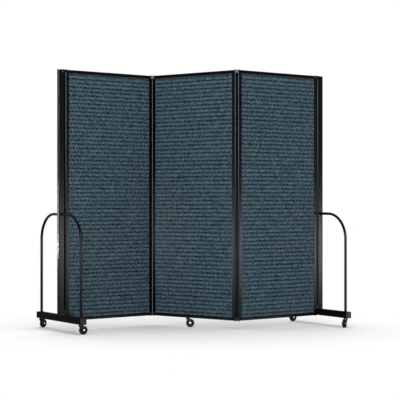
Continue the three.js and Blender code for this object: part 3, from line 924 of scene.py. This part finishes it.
class WARD_SCREEN_OT_wheels(bpy.types.Operator):
    """Make the castor wheels, with a tyre on a ribbed hub, and turn their axles"""

    bl_idname = "ward_screen.wheels"
    bl_label = "Castor wheels and axles"

    def execute(self, context):
        shade = context.scene.ward_screen_finishes.tyre
        tyre = once("black tyre rubber", rubber(shade))
        for castor in CASTORS:
            axis = Vector(joints[f"{castor}_roll"]["axis"])
            turn = axis.to_track_quat("Z", "Y").to_matrix().to_4x4()
            place = Matrix.Translation(joint_place(f"{castor}_roll")) @ turn
            wheel_node = f"{castor}_castor_wheel"
            body = f"{castor}_wheel"
            tread = new_piece(f"{castor}_castor_tyre", *self.tyre_mesh(), tyre, sharp=50)
            fit(tread, place, body, "castor_tyre", wheel_node)
            hub = new_piece(f"{castor}_castor_hub", *self.hub_mesh(), moulded_plastic())
            fit(hub, place, body, "castor_plastic", wheel_node)
            axle = new_piece(f"{castor}_castor_rivet", *self.axle_mesh(), bright_steel())
            fit(axle, place, f"{castor}_castor", "bright_steel", f"{castor}_castor_axle")
        return {"FINISHED"}

    def tyre_mesh(self, radius=0.025, half=0.007, shoulder=0.003, seat=0.0174):
        """A round-shouldered tyre with two shallow grooves in its tread and a ring on its side"""
        groove, ring = radius - 0.0004, 0.0003
        upper = [
            (seat, half - 0.0012), (seat + 0.0006, half - ring), (0.0192, half - ring),
            (0.0194, half), (0.0206, half), (0.0208, half - ring),
            *reversed(quarter((radius - shoulder, half - shoulder - ring), shoulder, 0, 6)),
            (radius, 0.0027), (groove, 0.0025), (groove, 0.0018), (radius, 0.0016),
        ]
        return turned_mesh(upper + mirrored(upper), 96, closed=True)

    def hub_mesh(self, bore=0.0043, boss=0.0080, boss_half=0.0077, rim=0.01735, ribs=8):
        """A hub with a rim, a thin web and ribs on both sides of it"""
        half, web, inner = 0.0058, 0.0014, 0.0154
        boss_edge, rim_edge, draft = 0.0005, 0.0003, 0.0002
        upper = [(bore, boss_half), (boss - boss_edge, boss_half), (boss, boss_half - boss_edge),
                 (boss + draft, web), (inner - draft, web), (inner, half - rim_edge),
                 (inner + rim_edge, half), (rim, half)]
        points, faces = turned_mesh(upper + mirrored(upper), 96, closed=True)
        for side in (1, -1):
            for rib in range(ribs):
                self.add_rib(points, faces, 2 * math.pi * (rib + 0.5) / ribs, side)
        return points, faces

    def add_rib(self, points, faces, angle, side, thick=0.0006):
        """A rib from the boss out to the rim, lower at its outer end"""
        inner, outer, root, inner_top, outer_top = 0.0076, 0.0158, 0.0010, 0.0062, 0.0046
        first = len(points)
        spoke = Matrix.Rotation(angle, 3, "Z")
        for radius, top in ((inner, inner_top), (outer, outer_top)):
            for height in (root, top):
                for across in (-thick, thick):
                    points.append(tuple(spoke @ Vector((radius, across, side * height))))
        corners = ((0, 1, 3, 2), (4, 6, 7, 5), (0, 4, 5, 1), (2, 3, 7, 6), (0, 2, 6, 4), (1, 5, 7, 3))
        faces += [tuple(first + corner for corner in face) for face in corners]

    def axle_mesh(self, shaft=0.004, head=0.005, face=0.0103, rise=0.0016):
        """A rivet with a low dome at each end, outside the fork's cheeks"""
        upper = [(shaft, face), *domed_head(head, face, rise)]
        return turned_mesh(mirrored(upper) + upper, 48)


# The studio


class WARD_SCREEN_OT_studio(bpy.types.Operator):
    """Set up the floor, the white surroundings, the lamps and the camera"""

    bl_idname = "ward_screen.studio"
    bl_label = "Studio"

    def execute(self, context):
        studio = context.scene.ward_screen_studio
        self.lay_floor(studio)
        self.light_world(context.scene, studio)
        self.hang_lamp("Overhead lamp", (0, 0.3, 4.2), (0, 0, 0), (4.5, 4.5), studio.overhead)
        self.hang_lamp("Front lamp", (-0.7, -7.8, 1.75), (88, 0, -5), (2.6, 3.3), studio.front)
        glints = (
            self.hang_lamp("High glint", (0, -3.5, 1.64), (90, 0, 0), (0.65, 1.12), studio.high_glint),
            self.hang_lamp("Low glint", (0, -3.5, 0.55), (90, 0, 0), (0.65, 1.06), studio.low_glint),
            self.hang_lamp(
                "Post glint", (-1.11, -0.49, 0.475), (90, 0, -48.5), (0.17, 0.09), studio.post_glint, 40),
            self.hang_lamp(
                "Upper post glint", (-1.11, -0.49, 0.68), (90, 0, -48.5), (0.17, 0.36),
                0.9 * studio.post_glint, 40),
            self.hang_lamp(
                "Left glint", (-3.87, -1.93, 0.33), (90, 0, -67), (1.4, 0.45), studio.left_glint),
            self.hang_lamp("Right glint", (3.9, -1.6, 0.33), (90, 0, 70), (3.0, 0.55), studio.right_glint),
        )
        for glint in glints:
            glint.visible_diffuse = False
        self.set_camera(context.scene, studio)
        context.scene.view_settings.view_transform = "Standard"
        return {"FINISHED"}

    def seen_directly(self, board):
        """1 for what the camera sees itself or in a mirror or glass, 0 for light that falls"""
        rays = ("Is Camera Ray", "Is Glossy Ray", "Is Transmission Ray")
        found = [board.node("ShaderNodeLightPath", output=ray) for ray in rays]
        total = found[0] + found[1] + found[2]
        return board.node("ShaderNodeMath", {"operation": "MINIMUM"}, {0: total, 1: 1.0})

    def lay_floor(self, studio, half=14, wide=1.5, deep=1.25):
        """A floor that is pale near the screen, and as white as the surroundings from an oval on"""
        corners = [(-half, -half, 0), (half, -half, 0), (half, half, 0), (-half, half, 0)]
        material = bpy.data.materials.new("pale floor")
        material.use_nodes = True
        board = Board(material.node_tree)
        across, back, _ = board.parts(board.place())
        out = board.node("ShaderNodeMath", {"operation": "SQRT"},
                         {0: (across / wide) * (across / wide) + (back / deep) * (back / deep)})
        far = board.ramp(out, 0.60, 1.0)
        speckle = board.cloud(0.006, 3)
        near = board.blend(speckle, scaled(studio.floor, 0.985), studio.floor)
        matt = board.node("ShaderNodeBsdfDiffuse", None, {"Color": near})
        white = board.node("ShaderNodeEmission", None, {"Color": (1, 1, 1, 1), "Strength": 1.0})
        share = self.seen_directly(board) * (0.03 + 0.97 * far)
        mixed = board.node("ShaderNodeMixShader", None, {0: share, 1: matt, 2: white})
        board.node("ShaderNodeOutputMaterial", None, {"Surface": mixed})
        floor = new_piece("studio_floor", corners, [(0, 1, 2, 3)], material)

    def light_world(self, scene, studio):
        """Plain white to look at, and a dimmer light on the object"""
        world = bpy.data.worlds.new("White studio")
        world.use_nodes = True
        scene.world = world
        board = Board(world.node_tree)
        strength = studio.sky + (1 - studio.sky) * self.seen_directly(board)
        sky = board.node("ShaderNodeBackground", None, {"Color": (1, 1, 1, 1), "Strength": strength})
        board.node("ShaderNodeOutputWorld", None, {"Surface": sky})

    def hang_lamp(self, name, place, turn, size, power, spread=180):
        """An area lamp, which faces straight down until it is turned"""
        lamp = bpy.data.lights.new(name, "AREA")
        lamp.spread = math.radians(spread)
        lamp.shape = "RECTANGLE"
        lamp.size, lamp.size_y = size
        lamp.energy = power
        hung = bpy.data.objects.new(name, lamp)
        hung.location = place
        hung.rotation_euler = [math.radians(part) for part in turn]
        hung.visible_camera = False
        bpy.context.scene.collection.objects.link(hung)
        return hung

    def set_camera(self, scene, studio, aside=0.038, tilt=90.019):
        """A long lens, level but for a hair, a little to the right of the middle"""
        camera = bpy.data.cameras.new("Camera")
        camera.lens = 108
        camera.sensor_width = 36
        camera.clip_end = 60
        held = bpy.data.objects.new("Camera", camera)
        held.location = (aside, -studio.eye_distance, studio.eye_height)
        held.rotation_euler = (math.radians(tilt), 0, 0)
        scene.collection.objects.link(held)
        scene.camera = held


class WARD_SCREEN_PT_panel(bpy.types.Panel):
    """The steps and the settings, in the 3D view's sidebar"""

    bl_idname = "WARD_SCREEN_PT_panel"
    bl_label = "Ward screen"
    bl_space_type = "VIEW_3D"
    bl_region_type = "UI"
    bl_category = "Ward screen"

    def draw(self, context):
        for step in STEPS:
            self.layout.operator(step.bl_idname)
        for group in GROUPS:
            settings = getattr(context.scene, group)
            for name in settings.bl_rna.properties.keys():
                if name not in ("rna_type", "name"):
                    self.layout.prop(settings, name)


GROUPS = {
    "ward_screen_sizes": WardScreenSizes,
    "ward_screen_finishes": WardScreenFinishes,
    "ward_screen_studio": WardScreenStudio,
}
STEPS = (
    WARD_SCREEN_OT_frames,
    WARD_SCREEN_OT_caps,
    WARD_SCREEN_OT_links,
    WARD_SCREEN_OT_pins,
    WARD_SCREEN_OT_collars,
    WARD_SCREEN_OT_seals,
    WARD_SCREEN_OT_tubes,
    WARD_SCREEN_OT_welds,
    WARD_SCREEN_OT_boards,
    WARD_SCREEN_OT_forks,
    WARD_SCREEN_OT_wheels,
    WARD_SCREEN_OT_studio,
)


def register():
    for group, kind in GROUPS.items():
        bpy.utils.register_class(kind)
        setattr(bpy.types.Scene, group, PointerProperty(type=kind))
    for kind in (*STEPS, WARD_SCREEN_PT_panel):
        bpy.utils.register_class(kind)


def unregister():
    for kind in reversed((*STEPS, WARD_SCREEN_PT_panel)):
        bpy.utils.unregister_class(kind)
    for group, kind in GROUPS.items():
        delattr(bpy.types.Scene, group)
        bpy.utils.unregister_class(kind)


def main():
    register()
    bpy.ops.ward_screen.frames()
    bpy.ops.ward_screen.caps()
    bpy.ops.ward_screen.links()
    bpy.ops.ward_screen.pins()
    bpy.ops.ward_screen.collars()
    bpy.ops.ward_screen.seals()
    bpy.ops.ward_screen.tubes()
    bpy.ops.ward_screen.welds()
    bpy.ops.ward_screen.boards()
    bpy.ops.ward_screen.forks()
    bpy.ops.ward_screen.wheels()
    bpy.ops.ward_screen.studio()


if __name__ == "__main__":
    main()
